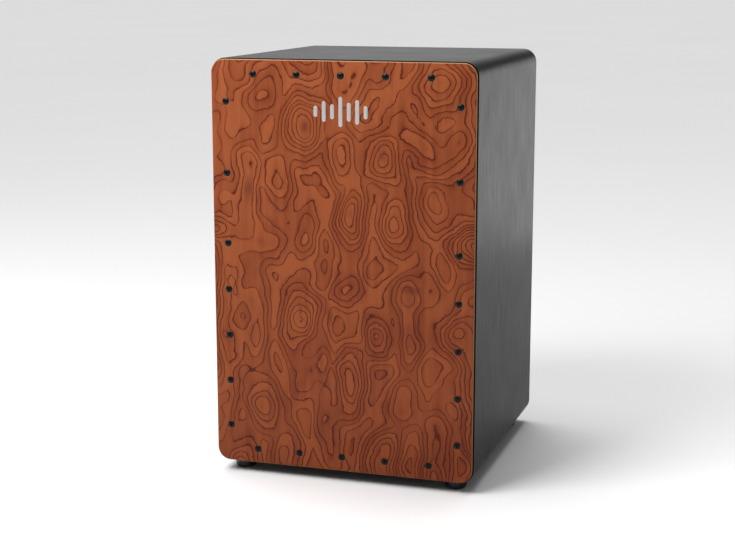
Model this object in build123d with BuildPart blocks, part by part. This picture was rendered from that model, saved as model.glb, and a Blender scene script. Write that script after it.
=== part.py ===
from build123d import *
from math import asin, cos, degrees, radians, sin
import os

# A cajon: a wooden box drum. The player sits on the top panel and plays the thin front plate with both hands,
# snare wires behind the plate add the buzz, and the sound leaves through a round hole in the back panel.
#
# Millimetres. +Z is up, the front plate faces -Y, and "left" is -X, seen from the front.
# The origin is on the floor, under the middle of the box.

# ---------------------------------------------------------------- driving dimensions

# Box
body_width = 300.0
body_depth = 300.0  # from the face of the front plate to the rear edges of the walls
body_height = 456.0  # without the feet
corner_radius = 16.0  # the four long edges, which run from front to back
wall_thickness = 9.0
rim_radius = 2.0  # the eased outer edges of the walls, front and rear

# Front plate
front_plate_thickness = 3.0
front_plate_inset = 1.2  # how far its edge stays inside the outline of the walls
front_plate_edge_radius = 1.2

# Back panel
back_panel_thickness = 4.0
back_panel_recess = 1.5  # below the rear edges of the walls
back_panel_gap = 0.3  # all round, between the panel and the walls
sound_hole_radius = 60.0
sound_hole_rise = 40.0  # above the middle of the box

# Battens that the front plate and the back panel are screwed to, and the blocks glued into the corners
upright_batten_width = 18.0
cross_batten_height = 16.0
batten_depth = 18.0
corner_block_leg = 16.0

# Wood screws: raised countersunk ones for the two panels, pan-headed ones for the fittings
front_screw_head_radius = 4.0
front_screw_shank_radius = 1.75
back_screw_head_radius = 3.3
back_screw_shank_radius = 1.5
screw_sink = 0.6  # how far the rim of a countersunk head sits below the surface
screw_crown = 1.2  # height of the raised top above that rim
screw_tip_length = 3.0
screw_tip_margin = 2.0  # wood left between a screw's tip and the far face
pilot_clearance = 0.1  # on the radius, between a shank and its hole
cross_recess_width = 1.0

# Where the panel screws are
row_screw_margin = 50.0  # from the sides to the outermost screws of the top and bottom rows
column_screw_low_margin = 43.0  # from the bottom of the box to the lowest screw of a side column
column_screw_high_margin = 47.0  # from the top of the box to the highest one
front_row_spacing = (1, 1, 1, 1)  # gaps between neighbouring screws, in equal parts
front_column_spacing = (2, 2, 2, 2, 3, 3)  # the upper gaps are half as wide again
back_row_spacing = (1, 1)
back_column_spacing = (1, 1, 1, 1)

# Rubber feet
foot_height = 12.0
foot_top_radius = 13.5
foot_bottom_radius = 11.5
foot_collar_height = 2.0  # the straight part under the box
foot_edge_radius = 2.8
foot_well_radius = 5.0
foot_web = 4.5  # rubber above the well, which the screw clamps
foot_side_inset = 25.0  # from the sides of the box to the middle of a foot
foot_end_inset = 26.0  # from the front and the rear to the middle of a foot
washer_radius = 4.5
washer_thickness = 1.0
foot_screw_head_radius = 3.4
foot_screw_head_height = 2.2
foot_screw_shank_radius = 2.0

# Snare: a wooden bar behind the plate carries two fans of wires that lean against the plate
snare_bar_depth = 20.0
snare_bar_height = 32.0
snare_bar_gap = 3.0  # between the front battens and the middle of the bar's face
snare_bar_end_gap = 0.5
snare_reach = 140.0  # from the middle of the bar to the tips of the wires
snare_headroom = 14.0  # from the tips to the top batten
snare_plate_gap = 0.3  # between the tips and the plate
snare_offset = 55.0  # from the middle of the box to the middle of each set of wires
strand_count = 10
strand_pitch = 3.6
strand_radius = 0.9
strand_grip = 6.0  # length of each wire inside its clamp
clamp_side_margin = 6.0
clamp_height = 14.0
clamp_thickness = 3.2
clamp_screw_drop = 3.0  # below the middle of the clamp
clamp_screw_spacing = 24.0
bracket_leg = 22.0
bracket_width = 16.0
bracket_thickness = 2.0
bracket_screw_inset = 9.0  # from a leg's end to its screw
fitting_screw_head_radius = 2.6
fitting_screw_head_height = 1.6
fitting_screw_shank_radius = 1.4
clamp_screw_length = 14.0
bracket_screw_length = 8.0

# Badge: a row of foil bars, like a level meter
badge_bar_heights = (12.0, 22.0, 16.0, 32.0, 20.0, 26.0, 14.0)
badge_bar_width = 4.4
badge_bar_pitch = 9.4
badge_thickness = 0.3
badge_drop = 55.0  # from the top of the box to the middle of the badge

# ---------------------------------------------------------------- sizes that follow from them

FRONT, REAR = -1, 1
LEFT, RIGHT = -1, 1

inner_width = body_width - 2 * wall_thickness
inner_height = body_height - 2 * wall_thickness
floor_of_box = foot_height
middle_height = foot_height + body_height / 2
front_face_y = -body_depth / 2
wall_front_y = front_face_y + front_plate_thickness
wall_rear_y = body_depth / 2
back_face_y = wall_rear_y - back_panel_recess
rear_batten_y = back_face_y - back_panel_thickness
front_plate_width = body_width - 2 * front_plate_inset
front_plate_height = body_height - 2 * front_plate_inset
column_x = inner_width / 2 - upright_batten_width / 2
row_z = inner_height / 2 - cross_batten_height / 2

foot_places = [
    (side * (body_width / 2 - foot_side_inset), end * (body_depth / 2 - foot_end_inset))
    for end in (FRONT, REAR)
    for side in (LEFT, RIGHT)
]
foot_well_depth = foot_height - foot_web
foot_hole_radius = foot_screw_shank_radius + pilot_clearance
foot_screw_length = washer_thickness + foot_web + wall_thickness - 1.0

strand_lift = clamp_thickness / 2
snare_face_y = wall_front_y + batten_depth + snare_bar_gap
snare_tip_y = wall_front_y + snare_plate_gap + strand_radius
snare_lean = degrees(asin((snare_face_y - snare_tip_y - strand_lift) / snare_reach))
snare_rise = snare_reach * cos(radians(snare_lean))
snare_bar_z = middle_height + inner_height / 2 - cross_batten_height - snare_headroom - snare_rise


def spread(low, high, gaps):
    """Places from low to high whose gaps are in the given proportions."""
    places = [low]
    for gap in gaps:
        places.append(places[-1] + (high - low) * gap / sum(gaps))
    return places


def screw_lines(row_spacing, column_spacing):
    """The screw places of one panel, from the middle of the box, as four lines: top, bottom, left and right."""
    reach = body_width / 2 - row_screw_margin
    low = column_screw_low_margin - body_height / 2
    high = body_height / 2 - column_screw_high_margin
    row = spread(-reach, reach, row_spacing)
    column = spread(low, high, column_spacing)
    return {
        "top": [(x, row_z) for x in row],
        "bottom": [(x, -row_z) for x in row],
        "left": [(LEFT * column_x, z) for z in column],
        "right": [(RIGHT * column_x, z) for z in column],
    }


def across(y, facing):
    """The plane across the box at depth y, centred on the box and facing the front or the rear."""
    return Plane(origin=(0, y, middle_height), x_dir=(-facing, 0, 0), z_dir=(0, facing, 0))


def seen_from(facing, places):
    """Places given as seen from the front, in the coordinates of a plane that faces the front or the rear."""
    return [(-facing * x, z) for x, z in places]


def finish(piece, label):
    """Name a finished piece and write it to a file of its own."""
    piece.part.label = label
    export_step(piece.part, f"parts/{label}.step")


os.makedirs("parts", exist_ok=True)
front_screw_lines = screw_lines(front_row_spacing, front_column_spacing)
back_screw_lines = screw_lines(back_row_spacing, back_column_spacing)
front_screw_places = [place for line in front_screw_lines.values() for place in line]
back_screw_places = [place for line in back_screw_lines.values() for place in line]

# ---------------------------------------------------------------- screws


def countersunk_screw(head_radius, shank_radius, length):
    """A raised countersunk wood screw. +Z leaves the head, and the origin is in the surface around it."""
    rim = (head_radius, -screw_sink)
    neck = (shank_radius, -screw_sink - (head_radius - shank_radius))
    crown = (0, screw_crown - screw_sink)
    with BuildPart() as screw:
        with BuildSketch(Plane.XZ):
            with BuildLine():
                Polyline(rim, neck, (shank_radius, screw_tip_length - length), (0, -length), crown)
                RadiusArc(crown, rim, (head_radius**2 + screw_crown**2) / (2 * screw_crown))
            make_face()
        revolve(axis=Axis.Z)
        with BuildSketch(Plane.XY.offset(screw_crown - screw_sink)):
            Rectangle(head_radius * 1.25, cross_recess_width)
            Rectangle(cross_recess_width, head_radius * 1.25)
        extrude(amount=-screw_crown * 1.5, mode=Mode.SUBTRACT)
    return screw.part


def pan_screw(head_radius, head_height, shank_radius, length):
    """A pan-headed wood screw. +Z leaves the head, and the origin is under the head."""
    with BuildPart() as screw:
        with BuildSketch(Plane.XZ):
            with BuildLine():
                Polyline(
                    (0, head_height),
                    (head_radius - head_height / 2, head_height),
                    (head_radius, head_height / 2),
                    (head_radius, 0),
                    (shank_radius, 0),
                    (shank_radius, screw_tip_length - length),
                    (0, -length),
                    close=True,
                )
            make_face()
        revolve(axis=Axis.Z)
        with BuildSketch(Plane.XY.offset(head_height)):
            Rectangle(head_radius * 1.2, cross_recess_width)
            Rectangle(cross_recess_width, head_radius * 1.2)
        extrude(amount=-head_height * 0.7, mode=Mode.SUBTRACT)
    return screw.part


def screw_group(label, screw, plane, places):
    """Copies of one screw, driven into a plane at the given places."""
    with BuildPart() as group:
        with Locations(plane):
            with Locations(*places):
                add(screw)
    finish(group, label)


front_screw_length = front_plate_thickness + batten_depth - screw_tip_margin
back_screw_length = back_panel_thickness + batten_depth - screw_tip_margin
front_screw = countersunk_screw(front_screw_head_radius, front_screw_shank_radius, front_screw_length)
back_screw = countersunk_screw(back_screw_head_radius, back_screw_shank_radius, back_screw_length)
for line, places in front_screw_lines.items():
    screw_group(f"front_screws_{line}", front_screw, across(front_face_y, FRONT), places)
screw_group("back_screws", back_screw, across(back_face_y, REAR), seen_from(REAR, back_screw_places))

# ---------------------------------------------------------------- front plate and badge

with BuildPart() as front_plate:
    with BuildSketch(across(front_face_y, FRONT)):
        RectangleRounded(front_plate_width, front_plate_height, corner_radius - front_plate_inset)
    extrude(amount=-front_plate_thickness)
    fillet(front_plate.faces().sort_by(Axis.Y)[0].edges(), front_plate_edge_radius)
    with Locations(across(front_face_y, FRONT)):
        with Locations(*front_screw_places):
            CounterSinkHole(
                radius=front_screw_shank_radius + pilot_clearance,
                counter_sink_radius=front_screw_head_radius + screw_sink,
                depth=front_plate_thickness,
                counter_sink_angle=90,
            )
finish(front_plate, "front_plate")

with BuildPart() as front_badge:
    middle_bar = (len(badge_bar_heights) - 1) / 2
    with BuildSketch(across(front_face_y, FRONT)):
        for number, bar_height in enumerate(badge_bar_heights):
            with Locations(((number - middle_bar) * badge_bar_pitch, body_height / 2 - badge_drop)):
                SlotOverall(bar_height, badge_bar_width, rotation=90)
    extrude(amount=badge_thickness)
finish(front_badge, "front_badge")

# ---------------------------------------------------------------- walls, mitred at the corners

with BuildPart() as wall_ring:
    with BuildSketch(across(wall_front_y, FRONT)):
        RectangleRounded(body_width, body_height, corner_radius)
        Rectangle(inner_width, inner_height, mode=Mode.SUBTRACT)
    extrude(amount=wall_front_y - wall_rear_y)
    for end_face in (wall_ring.faces().sort_by(Axis.Y)[0], wall_ring.faces().sort_by(Axis.Y)[-1]):
        fillet(end_face.outer_wire().edges(), rim_radius)


def mitred_section(outer_start, outer_end):
    """The outline of one wall before its corners are rounded, from one corner of the box to the next."""

    def inner(corner):
        return (
            corner[0] * inner_width / body_width,
            corner[1] * inner_height / body_height,
        )

    return [outer_start, outer_end, inner(outer_end), inner(outer_start)]


top_left = (-body_width / 2, body_height / 2)
top_right = (body_width / 2, body_height / 2)
bottom_left = (-body_width / 2, -body_height / 2)
bottom_right = (body_width / 2, -body_height / 2)

with BuildPart() as top_panel:
    add(wall_ring.part)
    with BuildSketch(across(wall_front_y, FRONT)):
        Polygon(*mitred_section(top_left, top_right), align=None)
    extrude(amount=wall_front_y - wall_rear_y, mode=Mode.INTERSECT)
finish(top_panel, "top_panel")

with BuildPart() as bottom_panel:
    add(wall_ring.part)
    with BuildSketch(across(wall_front_y, FRONT)):
        Polygon(*mitred_section(bottom_right, bottom_left), align=None)
    extrude(amount=wall_front_y - wall_rear_y, mode=Mode.INTERSECT)
    with Locations(Plane(origin=(0, 0, floor_of_box), x_dir=(1, 0, 0), z_dir=(0, 0, -1))):
        with Locations(*foot_places):
            Hole(foot_hole_radius, depth=wall_thickness - 0.5)
finish(bottom_panel, "bottom_panel")

# The bar leans back from the plate at its foot, so that the wires on its face reach forward to the plate.
snare_plane = Plane(
    origin=(0, snare_face_y, snare_bar_z),
    x_dir=(1, 0, 0),
    z_dir=(0, -cos(radians(snare_lean)), -sin(radians(snare_lean))),
)
bracket_screw_depth = bracket_screw_length - bracket_thickness + 0.5
fitting_hole_radius = fitting_screw_shank_radius + pilot_clearance


def wall_screw_plane(side):
    """The plane of the bracket's leg on a side wall, at that leg's screw, facing into the box."""
    wall_screw_z = -snare_bar_depth - bracket_leg + bracket_screw_inset
    centre = snare_plane.from_local_coords(Vector(side * inner_width / 2, 0, wall_screw_z))
    return Plane(origin=centre, x_dir=(0, 0, 1), z_dir=(-side, 0, 0))


def side_wall(label, side, outline):
    """A side wall, drilled for the snare bar's bracket."""
    with BuildPart() as panel:
        add(wall_ring.part)
        with BuildSketch(across(wall_front_y, FRONT)):
            Polygon(*outline, align=None)
        extrude(amount=wall_front_y - wall_rear_y, mode=Mode.INTERSECT)
        with Locations(wall_screw_plane(side)):
            Hole(fitting_hole_radius, depth=bracket_screw_depth)
    finish(panel, label)


side_wall("left_side_panel", LEFT, mitred_section(bottom_left, top_left))
side_wall("right_side_panel", RIGHT, mitred_section(top_right, bottom_right))

# ---------------------------------------------------------------- back panel

with BuildPart() as back_panel:
    with BuildSketch(across(back_face_y, REAR)):
        Rectangle(inner_width - 2 * back_panel_gap, inner_height - 2 * back_panel_gap)
        with Locations((0, sound_hole_rise)):
            Circle(sound_hole_radius, mode=Mode.SUBTRACT)
    extrude(amount=-back_panel_thickness)
    with Locations(across(back_face_y, REAR)):
        with Locations(*seen_from(REAR, back_screw_places)):
            CounterSinkHole(
                radius=back_screw_shank_radius + pilot_clearance,
                counter_sink_radius=back_screw_head_radius + screw_sink,
                depth=back_panel_thickness,
                counter_sink_angle=90,
            )
finish(back_panel, "back_panel")

# ---------------------------------------------------------------- battens and corner blocks


def batten(label, plane, centre, size, screw_places, pilot_radius):
    """One batten, with its face in the plane and a pilot hole for each screw."""
    with BuildPart() as strip:
        with BuildSketch(plane):
            with Locations(centre):
                Rectangle(*size)
        extrude(amount=-batten_depth)
        with Locations(plane):
            with Locations(*screw_places):
                Hole(pilot_radius, depth=batten_depth - screw_tip_margin / 2)
    finish(strip, label)


def batten_frame(end_name, plane, facing, lines, pilot_radius):
    """The four battens inside one end of the box: two uprights, and two cross battens between them."""
    upright = (upright_batten_width, inner_height)
    cross = (inner_width - 2 * upright_batten_width, cross_batten_height)
    middles = {
        "left": ((LEFT * column_x, 0), upright),
        "right": ((RIGHT * column_x, 0), upright),
        "top": ((0, row_z), cross),
        "bottom": ((0, -row_z), cross),
    }
    for line, (middle, size) in middles.items():
        centre = seen_from(facing, [middle])[0]
        batten(f"{end_name}_{line}_batten", plane, centre, size, seen_from(facing, lines[line]), pilot_radius)


batten_frame(
    "front",
    across(wall_front_y, FRONT),
    FRONT,
    front_screw_lines,
    front_screw_shank_radius + pilot_clearance,
)
batten_frame(
    "rear",
    across(rear_batten_y, REAR),
    REAR,
    back_screw_lines,
    back_screw_shank_radius + pilot_clearance,
)

block_front_y = wall_front_y + batten_depth
block_length = rear_batten_y - batten_depth - block_front_y
for level_name, level in (("top", 1), ("bottom", -1)):
    for side_name, side in (("left", LEFT), ("right", RIGHT)):
        corner_x = side * inner_width / 2
        corner_z = level * inner_height / 2
        with BuildPart() as corner_block:
            with BuildSketch(across(block_front_y, FRONT)):
                Polygon(
                    (corner_x, corner_z),
                    (corner_x - side * corner_block_leg, corner_z),
                    (corner_x, corner_z - level * corner_block_leg),
                    align=None,
                )
            extrude(amount=-block_length)
        finish(corner_block, f"{level_name}_{side_name}_corner_block")

# ---------------------------------------------------------------- feet

for (foot_x, foot_y), foot_name in zip(foot_places, ("front_left", "front_right", "rear_left", "rear_right")):
    with BuildPart() as foot:
        with BuildSketch(Plane.XZ):
            with BuildLine():
                Polyline(
                    (foot_hole_radius, foot_well_depth),
                    (foot_well_radius, foot_well_depth),
                    (foot_well_radius, 0),
                    (foot_bottom_radius, 0),
                    (foot_top_radius, foot_height - foot_collar_height),
                    (foot_top_radius, foot_height),
                    (foot_hole_radius, foot_height),
                    close=True,
                )
            make_face()
        revolve(axis=Axis.Z)
        outer_bottom_edge = foot.edges().filter_by(GeomType.CIRCLE).group_by(Axis.Z)[0].sort_by(SortBy.RADIUS)[-1]
        fillet(outer_bottom_edge, foot_edge_radius)
    foot.part.position = (foot_x, foot_y, 0)
    finish(foot, f"{foot_name}_foot")

with BuildPart() as foot_washers:
    with BuildSketch(Plane.XY.offset(foot_well_depth)):
        with Locations(*foot_places):
            Circle(washer_radius)
            Circle(foot_hole_radius, mode=Mode.SUBTRACT)
    extrude(amount=-washer_thickness)
finish(foot_washers, "foot_washers")

foot_screw = pan_screw(foot_screw_head_radius, foot_screw_head_height, foot_screw_shank_radius, foot_screw_length)
washer_face = Plane(origin=(0, 0, foot_well_depth - washer_thickness), x_dir=(1, 0, 0), z_dir=(0, 0, -1))
screw_group("foot_screws", foot_screw, washer_face, foot_places)

# ---------------------------------------------------------------- snare bar, brackets, clamps and wires

clamp_screw_places = [
    (side * snare_offset + end * clamp_screw_spacing / 2, -clamp_screw_drop)
    for side in (LEFT, RIGHT)
    for end in (LEFT, RIGHT)
]
bar_screw_x = inner_width / 2 - bracket_leg + bracket_screw_inset
bar_rear_plane = Plane(
    origin=snare_plane.from_local_coords(Vector(0, 0, -snare_bar_depth)),
    x_dir=(-1, 0, 0),
    z_dir=-snare_plane.z_dir,
)

with BuildPart() as snare_bar:
    with BuildSketch(snare_plane):
        Rectangle(inner_width - 2 * snare_bar_end_gap, snare_bar_height)
    extrude(amount=-snare_bar_depth)
    with Locations(snare_plane):
        with Locations(*clamp_screw_places):
            Hole(fitting_hole_radius, depth=clamp_screw_length - clamp_thickness + 0.5)
    with Locations(bar_rear_plane):
        with Locations((-bar_screw_x, 0), (bar_screw_x, 0)):
            Hole(fitting_hole_radius, depth=bracket_screw_depth)
finish(snare_bar, "snare_bar")


def snare_bracket(label, side):
    """An angle bracket between the rear of the bar and a side wall, with one screw hole in each leg."""
    wall = side * inner_width / 2
    with BuildPart() as bracket:
        with BuildSketch(snare_plane.offset(-snare_bar_depth)):
            with Locations((wall - side * bracket_leg / 2, 0)):
                Rectangle(bracket_leg, bracket_width)
        extrude(amount=-bracket_thickness)
        with BuildSketch(snare_plane.offset(-snare_bar_depth)):
            with Locations((wall - side * bracket_thickness / 2, 0)):
                Rectangle(bracket_thickness, bracket_width)
        extrude(amount=-bracket_leg)
        with Locations(bar_rear_plane.offset(bracket_thickness)):
            with Locations((-side * bar_screw_x, 0)):
                Hole(fitting_hole_radius, depth=bracket_thickness)
        with Locations(wall_screw_plane(side).offset(bracket_thickness)):
            Hole(fitting_hole_radius, depth=bracket_thickness)
    finish(bracket, label)


snare_bracket("left_snare_bracket", LEFT)
snare_bracket("right_snare_bracket", RIGHT)

bracket_screw = pan_screw(
    fitting_screw_head_radius, fitting_screw_head_height, fitting_screw_shank_radius, bracket_screw_length
)
with BuildPart() as bracket_screws:
    with Locations(bar_rear_plane.offset(bracket_thickness)):
        with Locations((-bar_screw_x, 0), (bar_screw_x, 0)):
            add(bracket_screw)
    for side in (LEFT, RIGHT):
        with Locations(wall_screw_plane(side).offset(bracket_thickness)):
            add(bracket_screw)
finish(bracket_screws, "bracket_screws")

strand_row = (strand_count - 1) * strand_pitch
for side_name, side in (("left", LEFT), ("right", RIGHT)):
    strand_places = [
        (side * snare_offset - strand_row / 2 + number * strand_pitch, strand_lift) for number in range(strand_count)
    ]
    # Looking down on the clamp's top edge: x runs across the wires, y away from the face of the bar.
    clamp_top = Plane(
        origin=snare_plane.from_local_coords(Vector(0, clamp_height / 2, 0)),
        x_dir=(-1, 0, 0),
        z_dir=snare_plane.y_dir,
    )
    wire_ends = [(-x, lift) for x, lift in strand_places]
    with BuildPart() as snare_clamp:
        with BuildSketch(snare_plane):
            with Locations((side * snare_offset, 0)):
                Rectangle(strand_row + 2 * clamp_side_margin, clamp_height)
        extrude(amount=clamp_thickness)
        with Locations(clamp_top):
            with Locations(*wire_ends):
                Hole(strand_radius, depth=strand_grip)
        with Locations(snare_plane.offset(clamp_thickness)):
            with Locations(*[place for place in clamp_screw_places if place[0] * side > 0]):
                Hole(fitting_hole_radius, depth=clamp_thickness)
    finish(snare_clamp, f"{side_name}_snare_clamp")
    with BuildPart() as snare_wires:
        with BuildSketch(clamp_top.offset(-strand_grip)):
            with Locations(*wire_ends):
                Circle(strand_radius)
        extrude(amount=snare_reach - clamp_height / 2 + strand_grip)
    finish(snare_wires, f"{side_name}_snare_wires")

clamp_screw = pan_screw(
    fitting_screw_head_radius, fitting_screw_head_height, fitting_screw_shank_radius, clamp_screw_length
)
screw_group("snare_clamp_screws", clamp_screw, snare_plane.offset(clamp_thickness), clamp_screw_places)
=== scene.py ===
"""A cajon, the wooden box drum, dressed around its fixed CAD frame and laid out as an add-on.

The box, its battens and the snare fittings keep their CAD shapes and get their finishes here. The front
plate, the panel screws, the badge, the snare wires and the feet are modelled here in more detail.
Lengths are in metres.
"""

import math
import random
from collections import namedtuple

import bmesh
import bpy
from bpy.props import FloatProperty, FloatVectorProperty, PointerProperty
from mathutils import Euler, Matrix, Vector


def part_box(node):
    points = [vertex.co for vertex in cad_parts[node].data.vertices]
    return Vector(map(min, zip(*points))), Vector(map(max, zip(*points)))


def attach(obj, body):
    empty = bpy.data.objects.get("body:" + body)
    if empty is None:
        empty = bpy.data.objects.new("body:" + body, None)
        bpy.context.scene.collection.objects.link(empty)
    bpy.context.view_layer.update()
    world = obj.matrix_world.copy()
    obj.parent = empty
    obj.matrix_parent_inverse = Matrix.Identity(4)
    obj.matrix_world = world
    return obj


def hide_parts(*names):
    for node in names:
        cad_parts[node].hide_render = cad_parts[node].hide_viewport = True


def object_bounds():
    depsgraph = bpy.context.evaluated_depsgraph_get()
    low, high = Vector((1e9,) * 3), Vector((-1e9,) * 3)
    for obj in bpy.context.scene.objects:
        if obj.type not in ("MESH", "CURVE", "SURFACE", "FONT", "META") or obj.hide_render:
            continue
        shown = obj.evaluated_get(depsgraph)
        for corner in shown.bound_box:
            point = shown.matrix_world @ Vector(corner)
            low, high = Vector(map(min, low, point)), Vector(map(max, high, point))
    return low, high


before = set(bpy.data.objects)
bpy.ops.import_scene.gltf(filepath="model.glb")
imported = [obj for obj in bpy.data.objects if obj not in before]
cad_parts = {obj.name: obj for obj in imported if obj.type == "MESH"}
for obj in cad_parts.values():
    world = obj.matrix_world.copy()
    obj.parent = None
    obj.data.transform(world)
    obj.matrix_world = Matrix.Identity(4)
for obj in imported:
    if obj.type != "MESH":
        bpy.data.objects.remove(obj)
cad_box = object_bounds()

bl_info = {
    "name": "Cajon Maker",
    "version": (1, 0, 0),
    "blender": (4, 5, 0),
    "location": "View3D > Sidebar > Cajon",
    "description": "Models and finishes a cajon: figured front plate, black walls, screws, snares and feet",
    "category": "Object",
}

BODY = "root"
MM = 0.001
SMOOTH_ANGLE = math.radians(35)

plate_low, plate_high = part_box("front_plate")
FACE_Y = plate_low.y  # the played face, which looks towards -Y
bottom_panel_low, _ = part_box("bottom_panel")
_, top_panel_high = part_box("top_panel")
WALL_FRONT = bottom_panel_low.y
BOX_BOTTOM = bottom_panel_low.z
BOX_TOP = top_panel_high.z
BOX_HEIGHT = BOX_TOP - BOX_BOTTOM
BOX_HALF_WIDTH = cad_box[1].x
BOX_CORNER = 16 * MM  # radius of the box's four long outer edges

FRONT_SCREW_NODES = tuple("front_screws_" + side for side in ("top", "bottom", "left", "right"))
SCREW_REACH = 30 * MM  # longer than a screw, and shorter than the way to the next one


# ---------------------------------------------------------------- sizes and colours a user may change


def paint(red, green, blue):
    """A colour given in the usual 0 to 255 steps, as the linear values that shaders use."""
    steps = (value / 255 for value in (red, green, blue))
    return tuple(v / 12.92 if v <= 0.04045 else ((v + 0.055) / 1.055) ** 2.4 for v in steps)


def color_setting(name, description, *steps):
    """A colour that a user may change. Its default is given in steps, as for paint."""
    return FloatVectorProperty(
        name=name, description=description, subtype="COLOR", size=3, min=0, max=1, default=paint(*steps)
    )


def length_setting(name, description, default):
    """A small length that a user may change."""
    return FloatProperty(
        name=name, description=description, unit="LENGTH", precision=5, min=0, default=default
    )


class CajonSizes(bpy.types.PropertyGroup):
    """Small sizes of the pieces that are modelled here."""

    plate_corner: length_setting("Plate corner", "Radius of the front plate's four corners", 14.8 * MM)
    plate_edge: length_setting("Plate edge", "Radius of the sanded edge round the front plate", 1.2 * MM)
    veneer_thickness: length_setting("Veneer", "Thickness of the figured veneer on the plate", 0.4 * MM)
    head_radius: length_setting("Front screw head", "Radius of the heads in the front plate", 4.0 * MM)
    back_head_radius: length_setting("Back screw head", "Radius of the heads in the back panel", 3.3 * MM)
    screw_sink: length_setting("Sink", "How far a head's rim sits below the panel", 0.5 * MM)
    countersink_gap: length_setting("Countersink gap", "Room round a screw head's rim", 0.5 * MM)
    badge_edge: length_setting("Badge edge", "Radius of the pressed edge round the foil bars", 0.12 * MM)
    snare_wire: length_setting("Snare wire", "Thickness of the wire in the snare strands", 0.42 * MM)
    snare_pitch: length_setting("Snare pitch", "Distance from one turn of a strand to the next", 1.5 * MM)
    foot_groove: length_setting("Foot groove", "Depth of the moulded groove under a foot's collar", 0.5 * MM)


class CajonColors(bpy.types.PropertyGroup):
    """Colours of the finishes."""

    veneer: color_setting("Veneer", "Figured veneer between the growth lines", 158, 82, 45)
    veneer_red: color_setting("Veneer, deep", "Darker bands of the figured veneer", 114, 46, 22)
    veneer_line: color_setting("Growth line", "Dark growth lines in the veneer", 86, 28, 12)
    veneer_smoke: color_setting("Smoke", "Dark marks beside some of the eyes", 84, 36, 28)
    bare_ply: color_setting("Bare ply", "Sanded edge of the front plate", 206, 160, 112)
    film: color_setting("Film", "Black wood-grain film on the outside of the box", 30, 30, 32)
    raw_board: color_setting("Raw board", "Inside of the box walls", 150, 122, 92)
    back_board: color_setting("Back board", "Painted back panel", 26, 25, 26)
    pine: color_setting("Pine", "Battens and corner blocks", 214, 178, 130)
    hardwood: color_setting("Hardwood", "Bar that carries the snares", 176, 128, 84)
    foil: color_setting("Foil", "Pressed silver badge", 186, 182, 180)
    zinc: color_setting("Zinc", "Plated brackets, clamps and washers", 188, 190, 194)
    snare_steel: color_setting("Snare steel", "Snare strands", 196, 198, 202)
    screw_black: color_setting("Black screws", "Blackened screws of the two panels", 8, 8, 10)
    rubber: color_setting("Rubber", "Feet", 22, 23, 30)
    floor: color_setting("Floor", "Studio floor", 238, 238, 238)


# ---------------------------------------------------------------- modelling helpers


def deselect():
    """Leaves edit mode and selects nothing."""
    if bpy.context.mode != "OBJECT":
        bpy.ops.object.mode_set(mode="OBJECT")
    bpy.ops.object.select_all(action="DESELECT")


def hold(*pieces):
    """Selects these pieces and nothing else, and makes the first one active."""
    deselect()
    for piece in pieces:
        piece.select_set(True)
    bpy.context.view_layer.objects.active = pieces[0]


def settle(piece, name=None):
    """Moves a piece's place, turn and scale into its mesh, so that its object sits at the origin."""
    hold(piece)
    bpy.ops.object.transform_apply(location=True, rotation=True, scale=True)
    if name:
        piece.name = name
        piece.data.name = name
    return piece


def block(name, low, high):
    """A box between two corners, as a start for a piece."""
    deselect()
    bpy.ops.mesh.primitive_cube_add(size=1, location=(low + high) / 2, scale=high - low)
    return settle(bpy.context.object, name)


def turned(name, rings, sides):
    """A round piece about +Z, grown from one ring to the next. A ring is (radius, height)."""
    deselect()
    first_radius, first_height = rings[0]
    bpy.ops.mesh.primitive_circle_add(
        vertices=sides, radius=first_radius, fill_type="NGON", location=(0, 0, first_height)
    )
    piece = bpy.context.object
    bpy.ops.object.mode_set(mode="EDIT")
    bpy.ops.mesh.select_all(action="SELECT")
    for (radius, height), (next_radius, next_height) in zip(rings, rings[1:]):
        bpy.ops.mesh.extrude_region_move(TRANSFORM_OT_translate={"value": (0, 0, next_height - height)})
        share = next_radius / radius
        bpy.ops.transform.resize(value=(share, share, 1), center_override=(0, 0, next_height))
    bpy.ops.mesh.select_all(action="SELECT")
    bpy.ops.mesh.normals_make_consistent(inside=False)
    return settle(piece, name)


def pick(piece, kind, wanted):
    """In edit mode, selects the verts, edges or faces that pass a test, and nothing else."""
    bpy.context.tool_settings.mesh_select_mode = (kind == "verts", kind == "edges", kind == "faces")
    bpy.ops.mesh.select_all(action="DESELECT")
    mesh = bmesh.from_edit_mesh(piece.data)
    for part in getattr(mesh, kind):
        part.select_set(wanted(part))
    mesh.select_flush_mode()
    bmesh.update_edit_mesh(piece.data)


def round_edges(piece, wanted, radius, segments):
    """Rounds the edges that pass a test."""
    hold(piece)
    bpy.ops.object.mode_set(mode="EDIT")
    pick(piece, "edges", wanted)
    bpy.ops.mesh.bevel(offset=radius, offset_type="OFFSET", segments=segments, profile=0.5, affect="EDGES")
    bpy.ops.object.mode_set(mode="OBJECT")


def runs_along(axis):
    """A test for straight edges that run along one axis: 0, 1 or 2."""

    def test(edge):
        way = (edge.verts[1].co - edge.verts[0].co).normalized()
        return abs(way[axis]) > 0.99

    return test


def lies_at(axis, place, reach=1e-5):
    """A test for edges or faces whose corners all lie on a plane across one axis."""

    def test(part):
        return all(abs(vert.co[axis] - place) < reach for vert in part.verts)

    return test


def carve(piece, cutter):
    """Cuts one piece out of another, and takes the cutter away."""
    hold(piece)
    modifier = piece.modifiers.new("carve", "BOOLEAN")
    modifier.operation = "DIFFERENCE"
    modifier.solver = "EXACT"
    modifier.object = cutter
    bpy.ops.object.modifier_apply(modifier=modifier.name)
    discard(cutter)


def copy_to(piece, place):
    """A copy of a piece with its own mesh, moved by a matrix."""
    hold(piece)
    bpy.ops.object.duplicate(linked=False)
    copy = bpy.context.object
    copy.matrix_world = place @ copy.matrix_world
    return settle(copy)


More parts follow.
